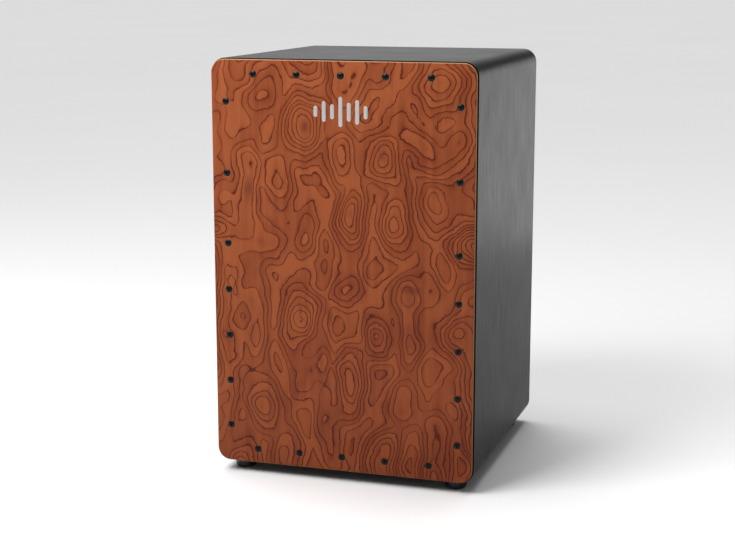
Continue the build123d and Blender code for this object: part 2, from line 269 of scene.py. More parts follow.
def join(name, pieces):
    """Joins loose pieces into one object."""
    hold(*pieces)
    if len(pieces) > 1:
        bpy.ops.object.join()
    return settle(bpy.context.object, name)


def discard(piece):
    """Takes a model away once its copies are in place."""
    bpy.data.objects.remove(piece)


def shade(piece):
    """Shades a piece smooth, apart from its sharp edges."""
    hold(piece)
    bpy.ops.object.shade_smooth_by_angle(angle=SMOOTH_ANGLE)


def hand_over(piece, material, slot, *nodes):
    """Gives a finished piece its material, hangs it on the body and hides the CAD nodes that it stands for.
    """
    shade(piece)
    piece.data.materials.clear()
    piece.data.materials.append(material)
    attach(piece, BODY)
    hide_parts(*nodes)
    deselect()


def cover(material, *nodes):
    """Gives CAD nodes that keep their shape a material."""
    for name in nodes:
        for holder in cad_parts[name].material_slots:
            holder.material = material


def places_of(node):
    """The place of every vertex of a CAD node."""
    return [vert.co.copy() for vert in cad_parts[node].data.vertices]


def box_round(places):
    """The lowest and highest corners of the box round some places."""
    low = Vector(min(place[axis] for place in places) for axis in range(3))
    high = Vector(max(place[axis] for place in places) for axis in range(3))
    return low, high


def screw_boxes(node):
    """The box of each screw in a CAD node, from the bottom row up and from left to right."""
    groups = []
    for place in places_of(node):
        for group in groups:
            if (place - group[0]).length < SCREW_REACH:
                group.append(place)
                break
        else:
            groups.append([place])
    boxes = [box_round(group) for group in groups]
    return sorted(boxes, key=lambda pair: (round(pair[0].z, 4), round(pair[0].x, 4)))


# ---------------------------------------------------------------- shader helpers


class Nodes:
    """Adds the nodes of one tree and links them, in columns from left to right."""

    def __init__(self, tree):
        self.tree = tree
        self.count = 0

    def add(self, kind, **settings):
        node = self.tree.nodes.new("ShaderNode" + kind)
        node.location = (200 * (self.count // 6) - 1600, 200 * (self.count % 6) - 600)
        self.count += 1
        for name, value in settings.items():
            setattr(node, name, value)
        return node

    def feed(self, socket, value):
        if isinstance(value, bpy.types.NodeSocket):
            self.tree.links.new(value, socket)
        else:
            socket.default_value = value

    def math(self, operation, *values, clamp=False):
        node = self.add("Math", operation=operation, use_clamp=clamp)
        for socket, value in zip(node.inputs, values):
            self.feed(socket, value)
        return node.outputs["Value"]

    def vector(self, operation, *values):
        node = self.add("VectorMath", operation=operation)
        for socket, value in zip(node.inputs, values):
            self.feed(socket, value)
        return node.outputs["Value" if operation in ("LENGTH", "DOT_PRODUCT") else "Vector"]

    def scaled(self, vector, factor):
        node = self.add("VectorMath", operation="SCALE")
        self.feed(node.inputs["Vector"], vector)
        self.feed(node.inputs["Scale"], factor)
        return node.outputs["Vector"]

    def sway(self, value, reach, base=0.0, clamp=False):
        """Turns a value from 0 to 1 into a swing of half the reach to either side of a base."""
        return self.math("MULTIPLY_ADD", self.math("SUBTRACT", value, 0.5), reach, base, clamp=clamp)

    def drift(self, color, reach):
        """The same for a noise's colour, as a move along each axis."""
        return self.vector("MULTIPLY", self.vector("SUBTRACT", color, (0.5, 0.5, 0.5)), reach)

    def mapping(self, vector, location=(0, 0, 0), turn=(0, 0, 0), scale=(1, 1, 1), kind="POINT"):
        node = self.add("Mapping", vector_type=kind)
        values = {"Vector": vector, "Location": location, "Rotation": turn, "Scale": scale}
        for name, value in values.items():
            self.feed(node.inputs[name], value)
        return node.outputs["Vector"]

    def mix(self, factor, first, second, blend="MIX"):
        node = self.add("Mix", data_type="RGBA", blend_type=blend)
        sockets = {socket.identifier: socket for socket in node.inputs}
        for name, value in (("Factor_Float", factor), ("A_Color", first), ("B_Color", second)):
            if not isinstance(value, bpy.types.NodeSocket) and name != "Factor_Float":
                value = (*value, 1)
            self.feed(sockets[name], value)
        return next(socket for socket in node.outputs if socket.identifier == "Result_Color")

    def spread(self, value, low, high, to_low=0.0, to_high=1.0, smooth=True):
        node = self.add("MapRange", interpolation_type="SMOOTHSTEP" if smooth else "LINEAR")
        sockets = ("Value", "From Min", "From Max", "To Min", "To Max")
        for name, number in zip(sockets, (value, low, high, to_low, to_high)):
            self.feed(node.inputs[name], number)
        return node.outputs["Result"]

    def noise(self, vector, scale, detail, roughness, out="Fac"):
        node = self.add("TexNoise", noise_dimensions="3D")
        names = ("Vector", "Scale", "Detail", "Roughness")
        for name, value in zip(names, (vector, scale, detail, roughness)):
            self.feed(node.inputs[name], value)
        return node.outputs[out]

    def place(self):
        """Object coordinates, which are the frame's own metres on every piece."""
        return self.add("TexCoord").outputs["Object"]

    def axes(self, vector):
        node = self.add("SeparateXYZ")
        self.feed(node.inputs["Vector"], vector)
        return node.outputs["X"], node.outputs["Y"], node.outputs["Z"]

    def combine(self, x=0.0, y=0.0, z=0.0):
        node = self.add("CombineXYZ")
        for name, value in zip("XYZ", (x, y, z)):
            self.feed(node.inputs[name], value)
        return node.outputs["Vector"]

    def bump(self, height, strength, distance):
        node = self.add("Bump")
        for name, value in zip(("Height", "Strength", "Distance"), (height, strength, distance)):
            self.feed(node.inputs[name], value)
        return node.outputs["Normal"]

    def group(self, tree, **values):
        """Places a node group. A value's name is its socket's name, with _ for each space."""
        node = self.add("Group", node_tree=tree)
        for name, value in values.items():
            self.feed(node.inputs[name.replace("_", " ")], value)
        return node


def new_group(name, takes, gives):
    """An empty shader group with named sockets. A socket is (name, kind) or (name, kind, default)."""
    tree = bpy.data.node_groups.new(name, "ShaderNodeTree")
    for socket_name, kind, *default in takes:
        socket = tree.interface.new_socket(socket_name, in_out="INPUT", socket_type="NodeSocket" + kind)
        if default:
            socket.default_value = default[0]
    for socket_name, kind in gives:
        tree.interface.new_socket(socket_name, in_out="OUTPUT", socket_type="NodeSocket" + kind)
    nodes = Nodes(tree)
    given = tree.nodes.new("NodeGroupInput")
    result = tree.nodes.new("NodeGroupOutput")
    given.location = (-1900, 0)
    result.location = (1200, 0)
    return tree, nodes, given.outputs, result.inputs


def new_material(name, **constants):
    """A material and its Principled shader, with the values that are the same all over set on its sockets."""
    material = bpy.data.materials.new(name)
    material.use_nodes = True
    shader = material.node_tree.nodes["Principled BSDF"]
    for socket, value in constants.items():
        shader.inputs[socket.replace("_", " ")].default_value = value
    return material, Nodes(material.node_tree), shader.inputs


def toned(color, share):
    """A colour made darker or lighter."""
    return tuple(share * part for part in color)


# ---------------------------------------------------------------- shared effects


def make_grain_group():
    """Fine fibres along Z: long thin noise at two widths."""
    tree, n, given, result = new_group(
        "Upright grain",
        (("Vector", "Vector"), ("Fibres per metre", "Float", 900.0), ("Length", "Float", 18.0)),
        (("Fibres", "Float"), ("Streaks", "Float")),
    )
    x, y, z = n.axes(given["Vector"])
    squeezed = n.combine(x, y, n.math("DIVIDE", z, given["Length"]))
    streaks_per_metre = n.math("MULTIPLY", given["Fibres per metre"], 0.13)
    n.feed(result["Fibres"], n.noise(squeezed, given["Fibres per metre"], 3.0, 0.6))
    n.feed(result["Streaks"], n.noise(squeezed, streaks_per_metre, 2.0, 0.5))
    return tree


def make_handling_group():
    """Roughness that wanders a little, as on a surface that hands have polished."""
    tree, n, given, result = new_group(
        "Handled surface",
        (("Vector", "Vector"), ("Roughness", "Float", 0.5), ("Amount", "Float", 0.1)),
        (("Roughness", "Float"),),
    )
    broad = n.noise(given["Vector"], 18.0, 3.0, 0.6)
    fine = n.noise(given["Vector"], 900.0, 1.0, 0.5)
    both = n.sway(fine, 0.35, n.math("SUBTRACT", broad, 0.5))
    roughness = n.math("MULTIPLY_ADD", both, given["Amount"], given["Roughness"], clamp=True)
    n.feed(result["Roughness"], roughness)
    return tree


def make_timber_group():
    """Sawn timber with its grain along Z: wavy growth bands and thin fibres."""
    tree, n, given, result = new_group(
        "Sawn timber",
        (
            ("Vector", "Vector"),
            ("Early wood", "Color", (0.6, 0.4, 0.2, 1)),
            ("Late wood", "Color", (0.4, 0.2, 0.1, 1)),
            ("Bands per metre", "Float", 160.0),
            ("Contrast", "Float", 0.6),
        ),
        (("Color", "Color"), ("Height", "Float")),
    )
    bend = n.noise(given["Vector"], 9.0, 2.0, 0.5, out="Color")
    bent = n.vector("ADD", given["Vector"], n.drift(bend, (0.035, 0.035, 0.035)))
    from_heart = n.vector("MULTIPLY_ADD", bent, (1.0, 0.45, 0.05), (0.03, 0.05, 0))
    rings = n.math("MULTIPLY", n.vector("LENGTH", from_heart), given["Bands per metre"])
    late = n.spread(n.math("FRACT", rings), 0.55, 0.97)
    fibres = n.noise(n.vector("MULTIPLY", given["Vector"], (1, 1, 0.03)), 2600.0, 2.0, 0.6)
    shade_by = n.sway(fibres, 0.55, n.math("MULTIPLY", late, given["Contrast"]), clamp=True)
    n.feed(result["Color"], n.mix(shade_by, given["Early wood"], given["Late wood"]))
    n.feed(result["Height"], n.math("MULTIPLY_ADD", late, 0.6, fibres))
    return tree


def make_edge_group():
    """How far a point is inside a rounded rectangle that is centred on the origin of the XZ plane."""
    tree, n, given, result = new_group(
        "Distance to outline",
        (
            ("Vector", "Vector"),
            ("Half width", "Float", BOX_HALF_WIDTH),
            ("Half height", "Float", BOX_HEIGHT / 2),
            ("Corner", "Float", BOX_CORNER),
        ),
        (("Distance", "Float"),),
    )
    x, _, z = n.axes(given["Vector"])
    over = []
    for value, half in ((x, given["Half width"]), (z, given["Half height"])):
        core = n.math("SUBTRACT", half, given["Corner"])
        over.append(n.math("SUBTRACT", n.math("ABSOLUTE", value), core))
    outside = n.combine(n.math("MAXIMUM", over[0], 0.0), 0.0, n.math("MAXIMUM", over[1], 0.0))
    past = n.vector("LENGTH", outside)
    within = n.math("MINIMUM", n.math("MAXIMUM", over[0], over[1]), 0.0)
    total = n.math("ADD", past, within)
    n.feed(result["Distance"], n.math("SUBTRACT", given["Corner"], total))
    return tree


grain_group = make_grain_group()
handling_group = make_handling_group()
timber_group = make_timber_group()
edge_group = make_edge_group()


def handled(n, place, roughness, amount):
    """Roughness that wanders by the amount."""
    node = n.group(handling_group, Vector=place, Roughness=roughness, Amount=amount)
    return node.outputs["Roughness"]


def depth_in_wall(n, place):
    """How far a point is inside the box's rounded outline, as seen from the front."""
    centred = n.mapping(place, location=(0, 0, -(BOX_BOTTOM + BOX_HEIGHT / 2)))
    return n.group(edge_group, Vector=centred).outputs["Distance"]


def apply_finish(n, shader, color, roughness, relief, strength, depth):
    """Feeds a finish's colour and roughness, and its fine relief as bump."""
    n.feed(shader["Base Color"], color)
    n.feed(shader["Roughness"], roughness)
    n.feed(shader["Normal"], n.bump(relief, strength, depth))


# ---------------------------------------------------------------- the figured veneer

# The figure is drawn like a map of hills. Each eye is a rounded cone that rises from its own place, the
# lowest cone at a point wins with a soft join, and a growth line runs at every whole step of the height.
# Millimetres: x from the middle, z above the bottom of the box. Tilt in degrees, positive leans the top
# right. Gap is the distance between an eye's rings, and first numbers the ring drawn at the eye's own size.
Eye = namedtuple("Eye", "x z half_width half_height tilt gap first")
EYES = (
    Eye(-91, 418, 14, 19, 30, 6.8, 3),
    Eye(-41, 383, 14, 22, 0, 4.6, 0),
    Eye(8, 446, 14, 41, 0, 5.4, 2),
    Eye(-2, 360, 9, 19, 0, 4.6, 1),
    Eye(46, 354, 14, 20, 0, 4.6, 1),
    Eye(84, 373, 9, 19, -38, 4.6, 2),
    Eye(111, 430, 8, 12, 0, 6.2, 0),
    Eye(125, 370, 11, 17, 20, 5.4, 3),
    Eye(-70, 325, 10, 26, -3, 4.8, 2),
    Eye(-108, 312, 9, 30, 0, 4.6, 1),
    Eye(-144, 380, 11, 17, 0, 6.1, 4),
    Eye(-153, 445, 16, 18, 0, 6.8, 4),
    Eye(-153, 330, 10, 18, 0, 5.4, 3),
    Eye(44, 462, 12, 21, 0, 6.1, 3),
    Eye(12, 288, 6, 13, 5, 4.6, 0),
    Eye(62, 282, 10.5, 19, 0, 4.6, 1),
    Eye(153, 262, 24, 16, 0, 4.6, 1),
    Eye(-39, 268, 9.5, 19, 8, 5.4, 3),
    Eye(-152, 268, 27, 14, 0, 4.8, 2),
    Eye(-86, 262, 22, 28, 12, 5.4, 4),
    Eye(-122, 206, 5, 17, 0, 4.6, 2),
    Eye(-100, 160, 8, 34, 0, 5.4, 2),
    Eye(-51, 174, 11, 20, 5, 4.6, 0),
    Eye(5, 210, 11, 14, 0, 4.8, 3),
    Eye(42, 158, 6.5, 9, 0, 4.8, 1),
    Eye(78, 160, 5.5, 17, 0, 4.8, 2),
    Eye(74, 203, 23, 24, 0, 5.4, 4),
    Eye(131, 166, 17, 18, 0, 4.8, 1),
    Eye(99, 224, 6, 22, -12, 4.6, 3),
    Eye(-136, 165, 4, 48, 0, 4.6, 1),
    Eye(-90, 69, 10.5, 17.5, 0, 4.8, 1),
    Eye(-67, 12, 8.5, 24, 0, 5.4, 2),
    Eye(-118, 0, 8, 15, 0, 4.6, 0),
    Eye(-153, 55, 10, 24, 0, 5.4, 2),
    Eye(11, 105, 6, 13, 0, 4.6, 0),
    Eye(73, 93, 13, 24, 0, 6.8, 3),
    Eye(48, 12, 10, 18, 0, 4.6, 0),
    Eye(-17, 46, 6, 25, -12, 5.4, 3),
    Eye(-40, 100, 16, 22, 0, 5.4, 4),
    Eye(108, 16, 8, 30, 0, 4.8, 1),
    Eye(166, 60, 15, 90, -8, 4.6, 0),
    Eye(125, 118, 9, 11, 0, 5.4, 4),
    Eye(-128, 128, 9, 20, 0, 4.8, 3),
    Eye(-21, 117, 4, 20, 0, 4.6, 3),
)
EYE_JOIN = 0.75  # how sharply one eye's rings give way to the next one's
EYE_TIP = 0.8  # rounds the tip of each cone, so that it ends in an open middle
EYE_RIM = math.sqrt(1 + EYE_TIP**2)  # from the rounded tip to the ring drawn at the eye's own size
LEAST_SLOPE = 0.02  # stands in where the ground is level, so that nothing is divided by zero
SWELL = 6.0  # steps from the lowest to the highest of a broad swell that leads lines from eye to eye
LINE_HALF_WIDTH = 0.58
LINE_SOFTNESS = 0.28
GLOW_FADE = -0.45  # how fast the shade beside a line fades with each millimetre
WANDER = (11, 0, 14)  # how far the broad waves move the lines
WOBBLE = (3.0, 0, 4.5)  # how far the small waves move them
FRAY = 3.4  # how far the thin fibres pull them up or down

# How strongly each effect darkens the veneer.
LINE_SHADE = 0.92
SMOKE_SHADE = 0.55
BAND_SHADE = 0.38
GLOW_SHADE = 0.50
STREAK_SHADE = 0.9
PATCH_SHADE = 1.1

# Dark smoky marks, in the same millimetres: most of them lie inside an eye.
Smoke = namedtuple("Smoke", "x z half_width half_height")
SMOKES = (
    Smoke(-40, 384, 9, 11),
    Smoke(46, 356, 7, 11),
    Smoke(-106, 314, 8, 22),
    Smoke(-47, 182, 4, 9),
    Smoke(-147, 272, 9, 16),
    Smoke(80, 212, 20, 7),
    Smoke(-14, 178, 5, 18),
)


def make_smoke_group():
    """One smoky mark, laid over the marks before it."""
    tree, n, given, result = new_group(
        "Smoky mark",
        (
            ("Point", "Vector"),
            ("Centre", "Vector"),
            ("Half size", "Vector", (1, 1, 1)),
            ("Marks", "Float", 0.0),
        ),
        (("Marks", "Float"),),
    )
    local = n.vector("DIVIDE", n.vector("SUBTRACT", given["Point"], given["Centre"]), given["Half size"])
    mark = n.spread(n.vector("LENGTH", local), 1.0, 0.0)
    n.feed(result["Marks"], n.math("MAXIMUM", given["Marks"], mark))
    return tree


def draw_smoke(n, millimetres):
    """All the smoky marks, broken up along the grain."""
    smoke_group = make_smoke_group()
    ragged = n.noise(n.vector("MULTIPLY", millimetres, (1, 0, 0.3)), 0.35, 3.0, 0.6, out="Color")
    point = n.vector("ADD", millimetres, n.drift(ragged, (9, 0, 12)))
    marks = 0.0
    for smoke in SMOKES:
        node = n.group(
            smoke_group,
            Point=point,
            Centre=(smoke.x, 0, smoke.z),
            Half_size=(smoke.half_width, 1, smoke.half_height),
            Marks=marks,
        )
        marks = node.outputs["Marks"]
    return marks


def make_eye_group():
    """One eye of the figure. It adds its weighted slope (X and Z) and its weight (Y) to the running sums."""
    tree, n, given, result = new_group(
        "Veneer eye",
        (
            ("Point", "Vector"),
            ("Centre", "Vector"),
            ("Turn", "Vector"),
            ("Half size", "Vector", (1, 1, 1)),
            ("Steepness", "Float", 1.0),
            ("First", "Float", 0.0),
            ("Sums", "Vector"),
        ),
        (("Sums", "Vector"),),
    )
    local = n.mapping(given["Point"], given["Centre"], given["Turn"], given["Half size"], kind="TEXTURE")
    away = n.vector("LENGTH", local)
    above_rim = n.math("SUBTRACT", away, EYE_RIM)
    height = n.math("MULTIPLY_ADD", above_rim, given["Steepness"], given["First"])
    weight = n.math("EXPONENT", n.math("MULTIPLY", height, -EYE_JOIN))
    lean = n.vector("DIVIDE", local, given["Half size"])
    slope = n.scaled(lean, n.math("DIVIDE", given["Steepness"], away))
    turned_back = n.add("VectorRotate", rotation_type="EULER_XYZ")
    n.feed(turned_back.inputs["Vector"], slope)
    n.feed(turned_back.inputs["Rotation"], given["Turn"])
    share = n.vector("MULTIPLY_ADD", turned_back.outputs["Vector"], (1, 0, 1), (0, 1, 0))
    n.feed(result["Sums"], n.vector("ADD", n.scaled(share, weight), given["Sums"]))
    return tree


def draw_figure(n, place):
    """The veneer's growth lines, bands and shading, from the sum of all the eyes."""
    eye_group = make_eye_group()
    millimetres = n.mapping(place, location=(0, 0, -BOX_BOTTOM / MM), scale=(1 / MM, 0, 1 / MM))
    broad = n.noise(millimetres, 0.030, 0.0, 0.5, out="Color")
    small = n.noise(millimetres, 0.12, 1.0, 0.5, out="Color")
    jag = n.noise(n.vector("MULTIPLY", millimetres, (0.55, 0, 0.09)), 1.0, 2.0, 0.6)
    moved = n.vector("ADD", millimetres, n.drift(broad, WANDER))
    shaken = n.vector("ADD", n.drift(small, WOBBLE), n.combine(z=n.sway(jag, FRAY)))
    point = n.vector("ADD", moved, shaken)
    sums = (0, 0, 0)
    for eye in EYES:
        node = n.group(
            eye_group,
            Point=point,
            Centre=(eye.x, -EYE_TIP, eye.z),
            Turn=(0, math.radians(eye.tilt), 0),
            Half_size=(eye.half_width, 1, eye.half_height),
            Steepness=eye.half_width / eye.gap * EYE_RIM,
            First=eye.first,
            Sums=sums,
        )
        sums = node.outputs["Sums"]
    _, weights, _ = n.axes(sums)
    height = n.math("DIVIDE", n.math("LOGARITHM", weights, math.e), -EYE_JOIN)
    swell = n.noise(millimetres, 0.022, 1.0, 0.5)
    height = n.sway(swell, SWELL, height)
    slope = n.math("DIVIDE", n.vector("LENGTH", n.vector("MULTIPLY", sums, (1, 0, 1))), weights)
    slope = n.math("MAXIMUM", slope, LEAST_SLOPE)
    step = n.math("FRACT", height)
    nearer = n.math("MINIMUM", step, n.math("SUBTRACT", 1.0, step))
    to_line = n.math("DIVIDE", nearer, slope)
    inside_line = n.math("DIVIDE", step, slope)
    line = n.spread(to_line, LINE_HALF_WIDTH - LINE_SOFTNESS, LINE_HALF_WIDTH + LINE_SOFTNESS, 1.0, 0.0)
    glow = n.math("EXPONENT", n.math("MULTIPLY", inside_line, GLOW_FADE))
    band = n.add("TexWhiteNoise", noise_dimensions="1D")
    n.feed(band.inputs["W"], n.math("FLOOR", height))
    return line, glow, band.outputs["Value"], millimetres


# Painted shade: the plate's colour darkens from the top left corner to the bottom right one, as if lit from
# the upper left.
PAINTED_SHADE_LEAN = Vector((0.9, 0, -1.6))
PAINTED_SHADE_START = Vector((-BOX_HALF_WIDTH, 0, BOX_TOP))
PAINTED_SHADE_END = Vector((BOX_HALF_WIDTH, 0, BOX_BOTTOM))
PAINTED_LIT_TINT = (0.93, 0.99, 1.04)
PAINTED_SHADED_TINT = (0.62, 0.55, 0.47)
CROSS_PLY = paint(150, 104, 70)
PLY_FIBRE = paint(140, 96, 66)


def veneer_material():
    """Figured veneer with a satin lacquer on the front, and bare plywood where the edges are sanded."""
    sizes, colors = bpy.context.scene.cajon_sizes, bpy.context.scene.cajon_colors
    material, n, shader = new_material("figured veneer plate", Specular_IOR_Level=0.15, IOR=1.45)
    place = n.place()
    line, glow, band, millimetres = draw_figure(n, place)
    grain = n.group(grain_group, Vector=place, Fibres_per_metre=1100.0, Length=16.0)
    patches = n.noise(millimetres, 0.016, 2.0, 0.5)
    shade_by = n.math("MULTIPLY_ADD", band, BAND_SHADE, n.math("MULTIPLY", glow, GLOW_SHADE))
    shade_by = n.sway(grain.outputs["Streaks"], STREAK_SHADE, shade_by)
    shade_by = n.sway(patches, PATCH_SHADE, shade_by, clamp=True)
    wood = n.mix(shade_by, colors.veneer, colors.veneer_red)
    fibre_shade = n.spread(grain.outputs["Fibres"], 0.50, 0.75, 0.0, 0.22)
    smoke = n.math("MULTIPLY", draw_smoke(n, millimetres), SMOKE_SHADE)
    wood = n.mix(n.math("MAXIMUM", fibre_shade, smoke), wood, colors.veneer_smoke)
    wood = n.mix(n.math("MULTIPLY", line, LINE_SHADE), wood, colors.veneer_line)
    _, y, _ = n.axes(place)
    # Painted shade: the veneer is multiplied darker towards the bottom right corner.
    down_the_painted_shade = n.vector("DOT_PRODUCT", place, PAINTED_SHADE_LEAN)
    painted_shade = n.spread(down_the_painted_shade, PAINTED_SHADE_LEAN.dot(PAINTED_SHADE_START), PAINTED_SHADE_LEAN.dot(PAINTED_SHADE_END), smooth=False)
    wood = n.mix(1.0, wood, n.mix(painted_shade, PAINTED_LIT_TINT, PAINTED_SHADED_TINT), blend="MULTIPLY")
    bare = n.spread(y, FACE_Y + sizes.veneer_thickness * 0.6, FACE_Y + sizes.veneer_thickness * 1.2)
    ply_layer = n.math("PINGPONG", n.math("SUBTRACT", y, FACE_Y), 1.0 * MM)
    cross_ply = n.spread(ply_layer, 0.35 * MM, 0.6 * MM)
    ply = n.mix(n.math("MULTIPLY", cross_ply, 0.35), colors.bare_ply, CROSS_PLY)
    ply = n.mix(n.spread(grain.outputs["Fibres"], 0.45, 0.8, 0.0, 0.35), ply, PLY_FIBRE)
    # Painted shade: the bare ply inside the countersinks, away from the plate's edge, is darkened towards
    # deep red.
    countersink_shade = n.spread(depth_in_wall(n, place), 3.0 * MM, 5.0 * MM)
    ply = n.mix(n.math("MULTIPLY", countersink_shade, 0.35), ply, colors.veneer_red)
    # Painted shade: the sanded edge darkens towards the bottom right, away from the light at the upper left.
    ply = n.mix(n.math("MULTIPLY", painted_shade, 0.65), ply, colors.veneer_red)
    roughness = n.math("MULTIPLY_ADD", bare, 0.35, handled(n, place, 0.36, 0.16))
    apply_finish(n, shader, n.mix(bare, wood, ply), roughness, grain.outputs["Fibres"], 0.12, 0.25 * MM)
    return material


# ---------------------------------------------------------------- the other finishes

RUBBED_STEEL = paint(40, 40, 44)
FLOOR_DUST = paint(120, 116, 110)
WORN_FOIL = paint(150, 120, 104)
FILM_FIBRE = 14.0  # how many times longer a fibre is than wide, up the sides and across the top


def film_material():
    """Black film with an upright wood grain outside, matt black paint and painted shade on the front rim, and
    raw board inside.
    """
    colors = bpy.context.scene.cajon_colors
    material, n, shader = new_material("black grained film on board", Specular_IOR_Level=0.06, IOR=1.45)
    place = n.place()
    wrapped = n.vector("MULTIPLY", place, (1 / FILM_FIBRE, 1, 1))
    grain = n.group(grain_group, Vector=wrapped, Fibres_per_metre=2200.0, Length=FILM_FIBRE)
    _, y, _ = n.axes(place)
    _, _, facing_up = n.axes(n.add("NewGeometry").outputs["Normal"])
    sat_smooth = n.spread(facing_up, 0.6, 0.98, 1.0, 0.3)
    streaks = n.sway(grain.outputs["Streaks"], sat_smooth)
    # Matt black paint on the front rim, darkened to near black as painted shade in the gap beside the plate.
    rim_paint_and_shade = n.spread(y, WALL_FRONT + 1.5 * MM, WALL_FRONT + 2.2 * MM, 1.0, 0.0)
    inside = n.spread(depth_in_wall(n, place), 7.6 * MM, 8.2 * MM)
    film = n.mix(n.math("ADD", streaks, 0.5), toned(colors.film, 0.6), toned(colors.film, 1.4))
    film = n.mix(rim_paint_and_shade, film, toned(colors.film, 0.15))
    chips = n.spread(n.noise(place, 420.0, 4.0, 0.7), 0.35, 0.7)
    board = n.mix(chips, colors.raw_board, toned(colors.raw_board, 0.55))
    roughness = n.math("MULTIPLY_ADD", streaks, 0.2, handled(n, place, 0.36, 0.10))
    matt = n.math("MAXIMUM", n.math("MULTIPLY", inside, 0.45), n.math("MULTIPLY", rim_paint_and_shade, 0.55))
    roughness = n.math("ADD", roughness, matt, clamp=True)
    relief = n.math("MULTIPLY_ADD", streaks, 0.4, n.math("MULTIPLY", grain.outputs["Fibres"], sat_smooth))
    apply_finish(n, shader, n.mix(inside, film, board), roughness, relief, 0.16, 0.3 * MM)
    return material


def back_board_material():
    """Black painted thin board with a faint grain."""
    colors = bpy.context.scene.cajon_colors
    material, n, shader = new_material("black painted back board", IOR=1.45)
    place = n.place()
    grain = n.group(grain_group, Vector=place, Fibres_per_metre=800.0, Length=10.0)
    tone = n.spread(grain.outputs["Fibres"], 0.3, 0.7)
    color = n.mix(tone, toned(colors.back_board, 0.7), toned(colors.back_board, 1.3))
    apply_finish(n, shader, color, handled(n, place, 0.5, 0.2), grain.outputs["Fibres"], 0.3, 0.3 * MM)
    return material


def timber_material(name, early, late, along, bands, contrast):
    """Sawn timber whose grain runs along one axis: 0, 1 or 2."""
    material, n, shader = new_material(name, IOR=1.45)
    turn = ((0, math.pi / 2, 0), (math.pi / 2, 0, 0), (0, 0, 0))[along]
    place = n.mapping(n.place(), turn=turn)
    wood = n.group(
        timber_group,
        Vector=place,
        Early_wood=(*early, 1),
        Late_wood=(*late, 1),
        Bands_per_metre=bands,
        Contrast=contrast,
    )
    roughness = handled(n, place, 0.66, 0.2)
    apply_finish(n, shader, wood.outputs["Color"], roughness, wood.outputs["Height"], 0.25, 0.3 * MM)
    return material


def metal_material(name, color, roughness, dull=0.35):
    """Plated or bare steel with fine brushing and duller patches."""
    material, n, shader = new_material(name, Metallic=1.0)
    place = n.place()
    patches = n.spread(n.noise(place, 160.0, 3.0, 0.6), 0.4, 0.75, 0.0, dull)
    brushing = n.noise(place, 2500.0, 2.0, 0.6)
    worn = n.mix(patches, color, toned(color, 0.5))
    apply_finish(n, shader, worn, handled(n, place, roughness, 0.2), brushing, 0.08, 0.1 * MM)
    return material


def screw_material():
    """Blackened steel, a little brighter where a driver has rubbed it."""
    colors = bpy.context.scene.cajon_colors
    material, n, shader = new_material("blackened screw", Specular_IOR_Level=0.22, IOR=1.5)
    place = n.place()
    rubbed = n.spread(n.noise(place, 1400.0, 3.0, 0.7), 0.60, 0.75, 0.0, 0.25)
    color = n.mix(rubbed, colors.screw_black, RUBBED_STEEL)
    pitting = n.noise(place, 3000.0, 2.0, 0.6)
    apply_finish(n, shader, color, handled(n, place, 0.32, 0.25), pitting, 0.1, 0.1 * MM)
    return material


def rubber_material():
    """Moulded rubber with a fine matt grain and some dust near the floor."""
    colors = bpy.context.scene.cajon_colors
    material, n, shader = new_material("moulded foot rubber", IOR=1.5)
    place = n.place()
    _, _, z = n.axes(place)
    dust_low = n.spread(z, 0.0, 2.2 * MM, 1.0, 0.0)
    dust = n.math("MULTIPLY", dust_low, n.spread(n.noise(place, 500.0, 3.0, 0.7), 0.45, 0.75, 0.0, 0.5))
    roughness = n.math("MULTIPLY_ADD", dust, 0.4, handled(n, place, 0.30, 0.16))
    moulding = n.noise(place, 2200.0, 3.0, 0.6)
    apply_finish(n, shader, n.mix(dust, colors.rubber, FLOOR_DUST), roughness, moulding, 0.25, 0.2 * MM)
    return material


def foil_material():
    """Pressed silver foil that shows a little of the wood's texture."""
    colors = bpy.context.scene.cajon_colors
    material, n, shader = new_material("pressed silver foil", Metallic=0.55)
    place = n.place()
    grain = n.group(grain_group, Vector=place, Fibres_per_metre=1300.0, Length=12.0)
    worn = n.mix(n.spread(grain.outputs["Fibres"], 0.62, 0.8, 0.0, 0.35), colors.foil, WORN_FOIL)
    apply_finish(n, shader, worn, handled(n, place, 0.42, 0.2), grain.outputs["Fibres"], 0.2, 0.2 * MM)
    return material


def floor_material():
    """Pale painted floor with faint cloudy patches."""
    colors = bpy.context.scene.cajon_colors
    material, n, shader = new_material("studio floor", IOR=1.3)
    place = n.place()
    cloudy = n.spread(n.noise(place, 0.7, 2.0, 0.5), 0.3, 0.7)
    n.feed(shader["Base Color"], n.mix(cloudy, toned(colors.floor, 0.985), colors.floor))
    n.feed(shader["Roughness"], handled(n, place, 0.75, 0.1))
    return material


# ---------------------------------------------------------------- screws


def countersunk_screw(name, head_radius, sink, proud, shank_radius, length):
    """A raised countersunk wood screw along Z, with the panel's face at height 0 and its tip below."""
    rim, point, plain_shank = 0.25 * MM, 2.6 * MM, 5.5 * MM
    pitch, thread = 1.3 * MM, 0.28 * MM
    crown = sink + proud
    ball = (head_radius**2 + crown**2) / (2 * crown)
    neck = -sink - rim - (head_radius - shank_radius)
    rings = [(0.12 * MM, -length), (0.8 * shank_radius, -length + point)]
    thread_start = -length + point + 0.3 * MM
    turns = int((length + neck - plain_shank) / pitch)
    for turn in range(turns):
        foot = thread_start + turn * pitch
        rings.append((shank_radius - thread, foot))
        rings.append((shank_radius, foot + 0.45 * pitch))
        rings.append((shank_radius - thread, foot + 0.75 * pitch))
    rings.append((shank_radius, thread_start + turns * pitch + 0.4 * MM))
    rings.append((shank_radius, neck))
    rings.append((head_radius, -sink - rim))
    rings.append((head_radius, -sink))
    for share in (0.94, 0.82, 0.62, 0.38, 0.12):
        radius = share * head_radius
        rings.append((radius, math.sqrt(ball**2 - radius**2) - (ball - crown) - sink))
    screw = turned(name, rings, sides=28)
    cut_cross(screw, head_radius, proud, recess_depth=0.55 * head_radius)
    return screw


